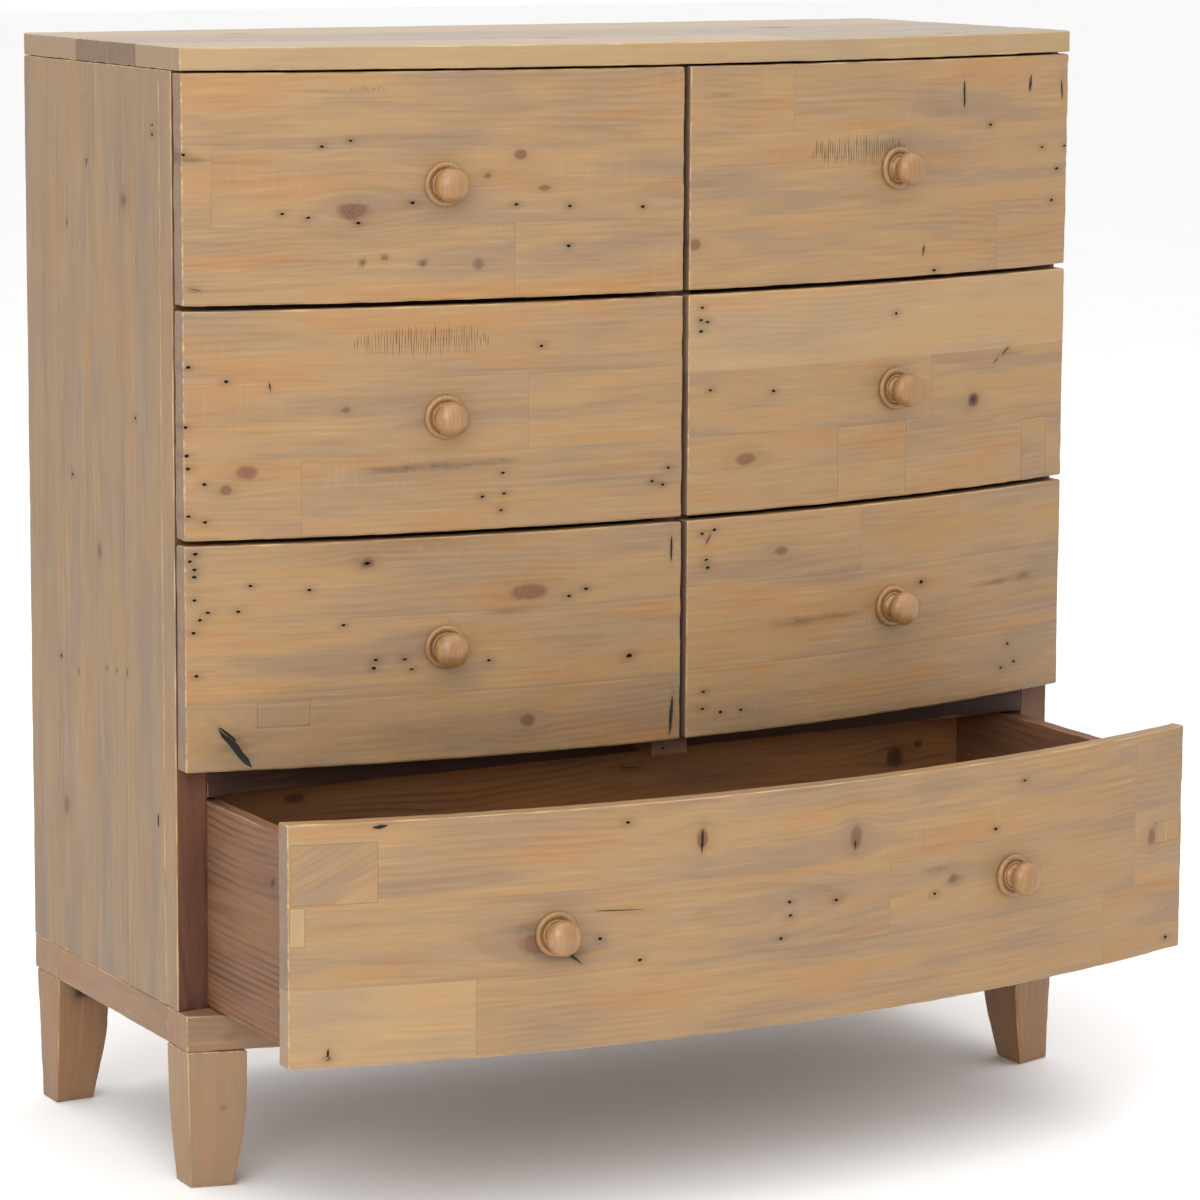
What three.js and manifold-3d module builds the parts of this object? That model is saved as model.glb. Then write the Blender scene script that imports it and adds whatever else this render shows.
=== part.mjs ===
// Bow-front chest of seven drawers in reclaimed pine: three rows of two small drawers over one wide drawer.
// Millimetres. +Z is up, the front faces -Y, and the left side is at -X. The wide drawer is drawn open.
import * as THREE from "three";
import { mergeVertices } from "three/addons/utils/BufferGeometryUtils.js";
import Module from "manifold-3d";

const wasm = await Module();
wasm.setup();

// ---- Driving dimensions -------------------------------------------------------------------------
const GAP = 0.3; // clearance between glued or screwed pieces
const CUT_PAST = 1; // how far a cutter runs past what it cuts

const WIDTH = 1000;
const HEIGHT = 1085;
const CARCASS_DEPTH = 356; // from the front of the posts (y = 0) to the back of the sides
const BOW_RISE = 75; // how far the middle of the bowed front stands out past its ends
const TOP_THICKNESS = 22;
const EDGE_ROUND = 1.6;

const BASE_TOP = 169;
const BASE_HEIGHT = 35;
const BASE_RAIL_WIDTH = 60;
const BASE_FRONT_RAIL_WIDTH = 47; // at its ends; the bow makes it wider in the middle
const BOW_OVERHANG = 20.6; // top and base stand this far in front of the posts at the ends
const BOTTOM_BOARD_THICKNESS = 12;

const LEG_WIDTH = 56;
const LEG_OUTER_TAPER = 3.5;
const LEG_INNER_TAPER = 12;
const LEG_TAPER_START = 78; // height below which the inner faces draw in
const BACK_LEG_DEPTH = 57;
const BACK_LEG_INSET = 4;
const BACK_LEG_TAPER = 18;

const POST_WIDTH = 32;
const POST_DEPTH = 27;
const SIDE_THICKNESS = 18;
const BACK_THICKNESS = 8;
const BACK_INSET = 2;

const STILE_WIDTH = 40;
const STILE_FRONT = -70;
const STILE_BOTTOM = 383;
const PARTITION_THICKNESS = 18;
const LAP_DEPTH = 172; // where the partition and the dividers are notched into each other

const RAIL_HEIGHT = 29;
const RAIL_DEPTH = 27;
const RAIL_LAP = 2; // how far a rail runs back into its dust panel
const DUST_PANEL_THICKNESS = 12;

const FRONT_THICKNESS = 19.6;
const FRONT_BACK_GAP = 0.4; // between the posts and the closed drawer fronts
const FRONT_END_INSET = 1.2; // fronts stop short of the sides
const CENTRE_GAP = 6;
const ROW_BOTTOM = 404; // lower edge of the lowest row of small fronts
const ROW_PITCH = 220.5;
const ROW_FRONT_HEIGHT = 216;
const FRONT_ABOVE_RUN = 1; // lower edge of a small front above the board that its box runs on
const WIDE_FRONT_BOTTOM = 170.4;
const WIDE_FRONT_HEIGHT = 227;
const WIDE_OPENING = 220.6; // how far the wide drawer is pulled out at rest

const BOX_OUTER_X = 468; // outer face of the drawer boxes, next to the posts
const BOX_INNER_X = 24; // inner face of the small boxes, next to the centre stile
const BOX_BACK = 330;
const BOX_THICKNESS = 15;
const BOX_CLEARANCE = 0.8; // between a box and what it runs on
const BOX_TOP_CLEARANCE = 3.5;
const DRAWER_BOTTOM_THICKNESS = 6;
const GROOVE_HEIGHT = 9; // from the lower edge of the box sides to the groove
const GROOVE_DEPTH = 5;

const KNOB_SPREAD = 253; // distance of each knob from the middle of the chest
const SMALL_KNOB_LIFT = 2; // above the middle of its front
const WIDE_KNOB_LIFT = -2;
const KNOB_ROSE_RADIUS = 21;
const KNOB_ROSE_EASE = 0.4;
const KNOB_BEAD_RADIUS = 2.9;
const KNOB_BEAD_HEIGHT = 2.4;
const KNOB_GROOVE = new THREE.Vector2(13.6, 4.8);
const KNOB_SHOULDER = new THREE.Vector2(12.6, 6.6);
const KNOB_NECK_RADIUS = 9.5;
const KNOB_NECK_START = 8.6;
const KNOB_NECK_END = 11.5;
const KNOB_BALL_RADIUS = 17;
const KNOB_BALL_MIDDLE = 21;
const KNOB_BALL_START = 12.5; // where the ball's underside would meet the axis
const KNOB_BALL_STEPS = 8;
const KNOB_LENGTH = 32;
const KNOB_SIDES = 24;

const BOW_STEP = 42; // length of one facet of the bow

// ---- Derived levels and curves -------------------------------------------------------------------
const HALF = WIDTH / 2;
const TOP_BOTTOM = HEIGHT - TOP_THICKNESS;
const BASE_BOTTOM = BASE_TOP - BASE_HEIGHT;
const BOW_RADIUS = (HALF * HALF + BOW_RISE * BOW_RISE) / (2 * BOW_RISE);
const FRONT_OVERHANG = FRONT_THICKNESS + FRONT_BACK_GAP;
const SIDE_INNER_X = HALF - SIDE_THICKNESS;
const BACK_FRONT_Y = CARCASS_DEPTH - BACK_INSET - BACK_THICKNESS;
const BOX_GROOVE_GAP = 0.4;

// Y of a bowed face that stands `overhang` in front of the posts at the ends of the chest.
function bowY(x, overhang) {
  const sag = BOW_RADIUS - Math.sqrt(BOW_RADIUS * BOW_RADIUS - x * x);
  return sag - BOW_RISE - overhang;
}

// Points of that face from x0 to x1.
function bowPoints(x0, x1, overhang) {
  const steps = Math.max(1, Math.ceil(Math.abs(x1 - x0) / BOW_STEP));
  const points = [];
  for (let i = 0; i <= steps; i += 1) {
    const x = x0 + ((x1 - x0) * i) / steps;
    points.push(new THREE.Vector2(x, bowY(x, overhang)));
  }
  return points;
}

// ---- Geometry helpers ----------------------------------------------------------------------------
function block(x0, x1, y0, y1, z0, z1) {
  const geometry = new THREE.BoxGeometry(x1 - x0, y1 - y0, z1 - z0);
  geometry.translate((x0 + x1) / 2, (y0 + y1) / 2, (z0 + z1) / 2);
  return geometry;
}

// A plan outline raised from z0 to z1, with its upper and lower edges eased by `round`.
function slab(points, z0, z1, round = 0, holes = []) {
  const shape = new THREE.Shape(points);
  shape.holes = holes.map((hole) => new THREE.Path(hole));
  const geometry = new THREE.ExtrudeGeometry(shape, {
    depth: z1 - z0 - 2 * round,
    bevelEnabled: round > 0,
    bevelThickness: round,
    bevelSize: round,
    bevelOffset: -round,
    bevelSegments: 2,
    curveSegments: 4,
  });
  geometry.translate(0, 0, z0 + round);
  return geometry;
}

function rectangle(x0, x1, y0, y1) {
  return [
    new THREE.Vector2(x0, y0),
    new THREE.Vector2(x1, y0),
    new THREE.Vector2(x1, y1),
    new THREE.Vector2(x0, y1),
  ];
}

function toSolid(geometry) {
  const bare = geometry.clone();
  bare.deleteAttribute("normal");
  bare.deleteAttribute("uv");
  const merged = mergeVertices(bare, 1e-4);
  const mesh = new wasm.Mesh({
    numProp: 3,
    vertProperties: new Float32Array(merged.attributes.position.array),
    triVerts: new Uint32Array(merged.index.array),
  });
  return new wasm.Manifold(mesh);
}

function toGeometry(solid) {
  const mesh = solid.getMesh();
  const geometry = new THREE.BufferGeometry();
  geometry.setAttribute("position", new THREE.BufferAttribute(new Float32Array(mesh.vertProperties), 3));
  geometry.setIndex(new THREE.BufferAttribute(new Uint32Array(mesh.triVerts), 1));
  geometry.computeVertexNormals();
  return geometry;
}

function cut(geometry, ...cutters) {
  return toGeometry(cutters.reduce((solid, cutter) => solid.subtract(toSolid(cutter)), toSolid(geometry)));
}

function join(first, second) {
  return toGeometry(toSolid(first).add(toSolid(second)));
}

// ---- Materials -----------------------------------------------------------------------------------
const FINISHES = {
  pine: { color: 0xb99263, roughness: 0.55 },
  pine_pale: { color: 0xc3a67c, roughness: 0.5 },
  pine_dark: { color: 0x6f4632, roughness: 0.6 },
  pine_box: { color: 0xa87b58, roughness: 0.7 },
  knob: { color: 0xd0a468, roughness: 0.4 },
};

// The group's origin is on the floor, midway across the space that the chest takes up as drawn.
const chest = new THREE.Group();
const KNOB_TIP = bowFrontTip();
chest.position.y = -(CARCASS_DEPTH + KNOB_TIP) / 2;

function add(parent, name, finish, geometry) {
  const { color, roughness } = FINISHES[finish];
  const material = new THREE.MeshStandardMaterial({ color, roughness, metalness: 0 });
  const mesh = new THREE.Mesh(geometry, material);
  mesh.name = name;
  parent.add(mesh);
  return mesh;
}

// ---- Knob ----------------------------------------------------------------------------------------
// One turned piece: a ringed rose, a short neck and a flattened ball. The profile runs from the back face.
function knobProfile() {
  const points = [new THREE.Vector2(0, 0), new THREE.Vector2(KNOB_ROSE_RADIUS - KNOB_ROSE_EASE, 0)];
  for (let i = 0; i <= 4; i += 1) {
    const angle = (Math.PI * i) / 4;
    const radius = KNOB_ROSE_RADIUS - KNOB_BEAD_RADIUS * (1 - Math.cos(angle));
    points.push(new THREE.Vector2(radius, KNOB_BEAD_HEIGHT + KNOB_BEAD_RADIUS * Math.sin(angle)));
  }
  points.push(KNOB_GROOVE);
  points.push(KNOB_SHOULDER);
  points.push(new THREE.Vector2(KNOB_NECK_RADIUS, KNOB_NECK_START));
  points.push(new THREE.Vector2(KNOB_NECK_RADIUS, KNOB_NECK_END));
  const under = KNOB_BALL_MIDDLE - KNOB_BALL_START;
  const over = KNOB_LENGTH - KNOB_BALL_MIDDLE;
  for (let i = 1; i <= KNOB_BALL_STEPS; i += 1) {
    const angle = -Math.PI / 2 + (Math.PI * (i + 1)) / (KNOB_BALL_STEPS + 1);
    const reach = angle < 0 ? under : over;
    const isTip = i === KNOB_BALL_STEPS;
    const radius = isTip ? 0 : KNOB_BALL_RADIUS * Math.cos(angle);
    points.push(new THREE.Vector2(radius, KNOB_BALL_MIDDLE + reach * Math.sin(angle)));
  }
  return points;
}

// How far forward the knobs of the open wide drawer reach.
function bowFrontTip() {
  const slope = KNOB_SPREAD / BOW_RADIUS;
  return bowY(KNOB_SPREAD, FRONT_OVERHANG) - WIDE_OPENING - (KNOB_LENGTH + GAP) * Math.sqrt(1 - slope * slope);
}

// Stands a knob square to the bowed face at x.
function addKnob(parent, name, x, z) {
  const knob = add(parent, name, "knob", new THREE.LatheGeometry(knobProfile(), KNOB_SIDES));
  const lean = Math.asin(x / BOW_RADIUS);
  knob.position.set(x + GAP * Math.sin(lean), bowY(x, FRONT_OVERHANG) - GAP * Math.cos(lean), z);
  knob.rotation.z = lean + Math.PI;
}

// ---- Drawers -------------------------------------------------------------------------------------
// x0 < x1 are the ends of the front, bx0 < bx1 the outer faces of the box, and z0 the front's lower edge.
function drawer(name, { x0, x1, bx0, bx1, z0, height, boxBottom, boxTop, knobs, knobLift }) {
  const group = new THREE.Group();
  const outline = bowPoints(x0, x1, FRONT_OVERHANG).concat(bowPoints(x1, x0, FRONT_BACK_GAP));
  add(group, `${name}_front`, "pine", slab(outline, z0, z0 + height, EDGE_ROUND));

  const grooveLow = boxBottom + GROOVE_HEIGHT;
  const grooveHigh = grooveLow + DRAWER_BOTTOM_THICKNESS;
  const sides = [
    { label: "left", low: bx0, high: bx0 + BOX_THICKNESS, grooveLowX: bx0 + BOX_THICKNESS - GROOVE_DEPTH },
    { label: "right", low: bx1 - BOX_THICKNESS, high: bx1, grooveLowX: bx1 - BOX_THICKNESS - CUT_PAST },
  ];
  for (const { label, low, high, grooveLowX } of sides) {
    const front = bowPoints(low, high, FRONT_BACK_GAP - GAP);
    const plan = front.concat([new THREE.Vector2(high, BOX_BACK), new THREE.Vector2(low, BOX_BACK)]);
    const groove = block(
      grooveLowX,
      grooveLowX + GROOVE_DEPTH + CUT_PAST,
      -BOW_RISE - FRONT_OVERHANG,
      BOX_BACK + CUT_PAST,
      grooveLow - BOX_GROOVE_GAP,
      grooveHigh + BOX_GROOVE_GAP,
    );
    add(group, `${name}_side_${label}`, "pine_box", cut(slab(plan, boxBottom, boxTop), groove));
  }

  const inner0 = bx0 + BOX_THICKNESS;
  const inner1 = bx1 - BOX_THICKNESS;
  const back = block(
    inner0 + GAP,
    inner1 - GAP,
    BOX_BACK - BOX_THICKNESS,
    BOX_BACK,
    grooveHigh + BOX_GROOVE_GAP,
    boxTop,
  );
  add(group, `${name}_back`, "pine_box", back);

  const reach = GROOVE_DEPTH - BOX_GROOVE_GAP;
  const bottomFront = bowPoints(inner0 - reach, inner1 + reach, FRONT_BACK_GAP - 2 * GAP);
  const bottomPlan = bottomFront.concat([
    new THREE.Vector2(inner1 + reach, BOX_BACK),
    new THREE.Vector2(inner0 - reach, BOX_BACK),
  ]);
  add(group, `${name}_bottom`, "pine_box", slab(bottomPlan, grooveLow, grooveHigh));

  const knobZ = z0 + height / 2 + knobLift;
  for (const [suffix, x] of knobs) {
    addKnob(group, `${name}_knob${suffix}`, x, knobZ);
  }
  chest.add(group);
  return group;
}

function smallDrawer(row, side) {
  const fromBottom = 3 - row;
  const z0 = ROW_BOTTOM + ROW_PITCH * fromBottom;
  const runTop = z0 - FRONT_ABOVE_RUN;
  const left = side === "left";
  const nearEnd = CENTRE_GAP / 2;
  const farEnd = HALF - FRONT_END_INSET;
  drawer(`drawer_${row}_${side}`, {
    x0: left ? -farEnd : nearEnd,
    x1: left ? -nearEnd : farEnd,
    bx0: left ? -BOX_OUTER_X : BOX_INNER_X,
    bx1: left ? -BOX_INNER_X : BOX_OUTER_X,
    z0,
    height: ROW_FRONT_HEIGHT,
    boxBottom: runTop + BOX_CLEARANCE,
    boxTop: runTop + ROW_PITCH - RAIL_HEIGHT - BOX_TOP_CLEARANCE,
    knobs: [["", left ? -KNOB_SPREAD : KNOB_SPREAD]],
    knobLift: SMALL_KNOB_LIFT,
  });
}

function wideDrawer() {
  const end = HALF - FRONT_END_INSET;
  const group = drawer("drawer_wide", {
    x0: -end,
    x1: end,
    bx0: -BOX_OUTER_X,
    bx1: BOX_OUTER_X,
    z0: WIDE_FRONT_BOTTOM,
    height: WIDE_FRONT_HEIGHT,
    boxBottom: BASE_TOP + 2 * BOX_CLEARANCE,
    boxTop: ROW_BOTTOM - FRONT_ABOVE_RUN - RAIL_HEIGHT - BOX_TOP_CLEARANCE,
    knobs: [
      ["_left", -KNOB_SPREAD],
      ["_right", KNOB_SPREAD],
    ],
    knobLift: WIDE_KNOB_LIFT,
  });
  group.position.y = -WIDE_OPENING;
}

// ---- Carcass -------------------------------------------------------------------------------------
function topPanel() {
  const plan = bowPoints(-HALF, HALF, BOW_OVERHANG).concat([
    new THREE.Vector2(HALF, CARCASS_DEPTH),
    new THREE.Vector2(-HALF, CARCASS_DEPTH),
  ]);
  add(chest, "top_panel", "pine_pale", slab(plan, TOP_BOTTOM, HEIGHT, EDGE_ROUND));
}

function sidesAndPosts() {
  const low = BASE_TOP + GAP;
  const high = TOP_BOTTOM - GAP;
  for (const [label, sign] of [["left", -1], ["right", 1]]) {
    const span = (a, b) => [Math.min(sign * a, sign * b), Math.max(sign * a, sign * b)];
    const [sideLow, sideHigh] = span(SIDE_INNER_X, HALF);
    const [postLow, postHigh] = span(HALF - POST_WIDTH, HALF);
    const side = block(sideLow, sideHigh, POST_DEPTH + GAP, CARCASS_DEPTH, low, high);
    add(chest, `side_panel_${label}`, "pine", side);
    add(chest, `front_post_${label}`, "pine_dark", block(postLow, postHigh, 0, POST_DEPTH, low, high));
  }
  const backEnd = SIDE_INNER_X - GAP;
  const backPanel = block(-backEnd, backEnd, BACK_FRONT_Y, BACK_FRONT_Y + BACK_THICKNESS, low, high);
  add(chest, "back_panel", "pine_box", backPanel);
}

// Each divider is a front rail with a thinner dust panel glued behind it.
function dividers() {
  const railEnd = HALF - POST_WIDTH - GAP;
  const panelEnd = SIDE_INNER_X - GAP;
  const slotEnd = PARTITION_THICKNESS / 2 + GAP;
  for (let row = 1; row <= 3; row += 1) {
    const top = ROW_BOTTOM + ROW_PITCH * (3 - row) - FRONT_ABOVE_RUN;
    const rail = block(-railEnd, railEnd, 0, RAIL_DEPTH + RAIL_LAP, top - RAIL_HEIGHT, top);
    const panelFront = RAIL_DEPTH + GAP;
    const panelLow = top - DUST_PANEL_THICKNESS;
    const panel = block(-panelEnd, panelEnd, panelFront, BACK_FRONT_Y - GAP, panelLow, top);
    let geometry = join(rail, panel);
    if (row < 3) {
      const slotLow = top - RAIL_HEIGHT - CUT_PAST;
      const slot = block(-slotEnd, slotEnd, -CUT_PAST, LAP_DEPTH, slotLow, top + CUT_PAST);
      geometry = cut(geometry, slot);
    }
    add(chest, `divider_${row}`, "pine_dark", geometry);
  }
}

function centre() {
  const high = TOP_BOTTOM - GAP;
  const stileBack = STILE_FRONT + POST_DEPTH;
  const halfStile = STILE_WIDTH / 2;
  const stile = block(-halfStile, halfStile, STILE_FRONT, stileBack, STILE_BOTTOM, high);
  add(chest, "centre_stile", "pine_dark", stile);

  const half = PARTITION_THICKNESS / 2;
  const dividerTop = ROW_BOTTOM - FRONT_ABOVE_RUN;
  const back = BACK_FRONT_Y - GAP;
  const board = block(-half, half, stileBack + GAP, back, STILE_BOTTOM, high);
  const side = half + CUT_PAST;
  const foot = STILE_BOTTOM - CUT_PAST;
  const cutters = [block(-side, side, -GAP, back + CUT_PAST, foot, dividerTop + GAP)];
  for (let row = 1; row < 3; row += 1) {
    const top = dividerTop + ROW_PITCH * (3 - row);
    const low = top - DUST_PANEL_THICKNESS - GAP;
    cutters.push(block(-side, side, LAP_DEPTH - GAP, back + CUT_PAST, low, top + GAP));
  }
  add(chest, "centre_partition", "pine_box", cut(board, ...cutters));
}

function base() {
  const innerX = HALF - BASE_RAIL_WIDTH;
  const innerFront = BASE_FRONT_RAIL_WIDTH - BOW_OVERHANG;
  const innerBack = CARCASS_DEPTH - BASE_RAIL_WIDTH;
  const plan = bowPoints(-HALF, HALF, BOW_OVERHANG).concat([
    new THREE.Vector2(HALF, CARCASS_DEPTH),
    new THREE.Vector2(-HALF, CARCASS_DEPTH),
  ]);
  const hole = rectangle(-innerX, innerX, innerFront, innerBack);
  add(chest, "base_frame", "pine", slab(plan, BASE_BOTTOM, BASE_TOP, 0, [hole]));
  const board = block(
    -innerX + GAP,
    innerX - GAP,
    innerFront + GAP,
    innerBack - GAP,
    BASE_TOP - BOTTOM_BOARD_THICKNESS,
    BASE_TOP,
  );
  add(chest, "bottom_board", "pine_box", board);
}

// A leg is a block whose four faces draw in towards the floor. `depthAt` gives its front and back at x, z.
function leg(name, sign, depthAt) {
  const top = BASE_BOTTOM - GAP;
  const geometry = new THREE.BoxGeometry(1, 1, 1, 3, 1, 7);
  const position = geometry.attributes.position;
  for (let i = 0; i < position.count; i += 1) {
    const across = position.getX(i) + 0.5;
    const along = position.getY(i) + 0.5;
    const z = (position.getZ(i) + 0.5) * top;
    const outer = HALF - LEG_OUTER_TAPER * (1 - z / top);
    const inner = HALF - LEG_WIDTH + LEG_INNER_TAPER * drawIn(z, LEG_TAPER_START);
    const x = sign * (sign > 0 ? inner + (outer - inner) * across : outer + (inner - outer) * across);
    const [front, back] = depthAt(x, z);
    position.setXYZ(i, x, front + (back - front) * along, z);
  }
  geometry.computeVertexNormals();
  add(chest, name, "pine", geometry);
}

// 0 above `start`, growing smoothly to 1 at the floor.
function drawIn(z, start) {
  return Math.pow(Math.max(0, start - z) / start, 1.3);
}

function legs() {
  const top = BASE_BOTTOM;
  for (const [label, sign] of [["left", -1], ["right", 1]]) {
    leg(`leg_front_${label}`, sign, (x, z) => [
      bowY(x, BOW_OVERHANG) + LEG_OUTER_TAPER * (1 - z / top),
      BASE_FRONT_RAIL_WIDTH - BOW_OVERHANG - LEG_INNER_TAPER * drawIn(z, LEG_TAPER_START),
    ]);
    leg(`leg_back_${label}`, sign, (x, z) => [
      CARCASS_DEPTH - BACK_LEG_INSET - BACK_LEG_DEPTH + BACK_LEG_TAPER * drawIn(z, top),
      CARCASS_DEPTH - BACK_LEG_INSET - LEG_OUTER_TAPER * (1 - z / top),
    ]);
  }
}

topPanel();
sidesAndPosts();
dividers();
centre();
base();
legs();
for (let row = 1; row <= 3; row += 1) {
  smallDrawer(row, "left");
  smallDrawer(row, "right");
}
wideDrawer();

export default chest;
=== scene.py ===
"""Bow-front chest of drawers in old waxed pine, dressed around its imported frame.

Metres, +Z up, front at -Y.
"""
import itertools
import math
import random

import bpy
import numpy as np
from mathutils import Matrix, Vector


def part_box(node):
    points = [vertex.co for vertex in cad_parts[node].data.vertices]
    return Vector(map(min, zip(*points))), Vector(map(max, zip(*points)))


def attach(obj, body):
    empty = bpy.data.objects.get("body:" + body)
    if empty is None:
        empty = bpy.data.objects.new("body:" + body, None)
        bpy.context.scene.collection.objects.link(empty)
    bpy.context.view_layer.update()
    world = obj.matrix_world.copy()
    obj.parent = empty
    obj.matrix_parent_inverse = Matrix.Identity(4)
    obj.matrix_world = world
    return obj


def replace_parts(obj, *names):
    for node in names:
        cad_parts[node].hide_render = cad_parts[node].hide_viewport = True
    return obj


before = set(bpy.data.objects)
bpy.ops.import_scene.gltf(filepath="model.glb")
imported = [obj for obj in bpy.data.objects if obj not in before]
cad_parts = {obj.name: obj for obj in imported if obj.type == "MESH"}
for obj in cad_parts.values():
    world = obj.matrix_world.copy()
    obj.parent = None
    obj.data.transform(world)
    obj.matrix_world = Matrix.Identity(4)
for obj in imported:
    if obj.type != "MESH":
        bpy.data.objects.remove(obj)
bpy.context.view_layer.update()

MM = 0.001

# ---- Driving dimensions, beside those read from the frame -------------------------------------------
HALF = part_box("top_panel")[1].x
BOW_RISE = 75 * MM
BOW_RADIUS = (HALF * HALF + BOW_RISE * BOW_RISE) / (2 * BOW_RISE)
POST_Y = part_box("front_post_left")[0].y  # front faces of the posts
FRONT_OVERHANG = 20 * MM  # bowed faces of the drawer fronts, ahead of the posts at the ends
TOP_OVERHANG = 20.6 * MM  # the same for the top and the base
FRONT_THICKNESS = 19.6 * MM
WIDE_OPENING = 220.6 * MM
KNOB_SPREAD = 253 * MM
KNOB_GAP = 0.1 * MM

CAMERA_PLACE = Vector((-2.174, -3.775, 1.258))
CAMERA_YAW = 28.71
CAMERA_PITCH = 8.14
CAMERA_ROLL = 0.19
CAMERA_LENS = 132.8
CAMERA_SHIFT = (0.054, -0.0905)


def bow_y(x, overhang):
    """Y of a bowed face that stands `overhang` ahead of the posts at the ends of the chest."""
    return POST_Y + BOW_RADIUS - np.sqrt(BOW_RADIUS**2 - x * x) - BOW_RISE - overhang


# ---- Numbers and meshes -----------------------------------------------------------------------------
def wander(points, size, seed):
    """Smooth noise from -1 to 1 at each point, with bumps about `size` metres across."""
    spread = np.asarray(points) / size + seed * 17.13
    cell = np.floor(spread).astype(np.int64)
    part = spread - cell
    part = part * part * (3 - 2 * part)
    total = np.zeros(len(spread))
    for corner in itertools.product((0, 1), repeat=3):
        mixed = (cell + corner) @ np.array((73856093, 19349663, 83492791))
        mixed = (mixed ^ (mixed >> 13)) * 1274126177
        value = ((mixed ^ (mixed >> 16)) & 0xFFFF) / 32767.5 - 1
        total += value * np.prod(np.where(corner, part, 1 - part), axis=1)
    return total


EDGE_CUTS = (0.05, 0.18, 0.38, 0.65, 1.0, 1.6)  # where a rounded edge is cut, in shares of its radius
CLOSEST_CUTS = 0.12 * MM


def divisions(low, high, pitch, radii, extra):
    """Places to cut a length: close together where the edges are rounded, then about `pitch` apart."""
    marks = {low, high}
    for radius in radii:
        for share in EDGE_CUTS:
            marks |= {low + radius * share, high - radius * share}
    marks |= {m for m in extra if low < m < high}
    kept = []
    for mark in sorted(m for m in marks if low <= m <= high):
        if not kept or mark - kept[-1] >= CLOSEST_CUTS:
            kept.append(mark)
    kept[-1] = high
    full = []
    for start, stop in zip(kept, kept[1:]):
        count = max(1, math.ceil((stop - start) / pitch - 0.01))
        full += [start + (stop - start) * i / count for i in range(count)]
    return np.array(full + [high])


def box_lattice(xs, ys, zs):
    """Points and outward quads of the surface of a box that is cut at xs, ys and zs."""
    shell = np.zeros((len(xs), len(ys), len(zs)), bool)
    shell[[0, -1]] = True
    shell[:, [0, -1]] = True
    shell[:, :, [0, -1]] = True
    number = np.full(shell.shape, -1)
    number[shell] = np.arange(shell.sum())
    points = np.stack(np.meshgrid(xs, ys, zs, indexing="ij"), -1)[shell]
    quads = []
    sheets = (
        (number[:, :, -1], False), (number[:, :, 0], True),
        (number[:, 0, :], False), (number[:, -1, :], True),
        (number[-1], False), (number[0], True),
    )
    for sheet, turned in sheets:
        loop = [sheet[:-1, :-1], sheet[1:, :-1], sheet[1:, 1:], sheet[:-1, 1:]]
        if turned:
            loop.reverse()
        quads.append(np.stack(loop, -1).reshape(-1, 4))
    return points, np.concatenate(quads)


def new_object(name, data):
    made = bpy.data.objects.new(name, data)
    bpy.context.scene.collection.objects.link(made)
    return made


def link(name, mesh, look, body):
    """A piece of the chest with its material, moving on a body."""
    piece = new_object(name, mesh)
    mesh.materials.append(look)
    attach(piece, body)
    return piece


def new_mesh(name, points, faces, smooth=True):
    mesh = bpy.data.meshes.new(name)
    points = points.tolist() if isinstance(points, np.ndarray) else [tuple(p) for p in points]
    faces = faces.tolist() if isinstance(faces, np.ndarray) else faces
    mesh.from_pydata(points, [], faces)
    mesh.polygons.foreach_set("use_smooth", [smooth] * len(mesh.polygons))
    mesh.update()
    return mesh


def paint(mesh, board, marks):
    """Stores each corner's place in its board and its marks: stain, knot, wear and stave."""
    place = mesh.attributes.new("board", "FLOAT_VECTOR", "CORNER")
    place.data.foreach_set("vector", np.asarray(board, np.float32).ravel())
    colour = mesh.attributes.new("marks", "FLOAT_COLOR", "CORNER")
    colour.data.foreach_set("color", np.asarray(marks, np.float32).ravel())


# ---- Marks of age, in millimetres across and up a board's face --------------------------------------
NAIL = 1.8  # radius of a common nail hole
LINE_REACH = 0.2  # half the width of a glue line
FINE_CUT = 0.45  # how far from a glue line the face is cut again
JOINT_LINE = 0.45  # how plain the line of an upright joint is, where a plug's is 1
STRIP_LINE = 0.25  # the same for a level joint
NO_KNOT = -0.5  # knots rise from 0 at their rim to 1 in their middle
NAIL_STAIN, GOUGE_STAIN, KNOT_STAIN, LINE_STAIN, PIT_STAIN = 0.34, 0.3, 0.16, 0.55, 1.15
MOST_STAIN = 1.2


def between(places, low, high):
    return (places > low) & (places < high)


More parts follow.
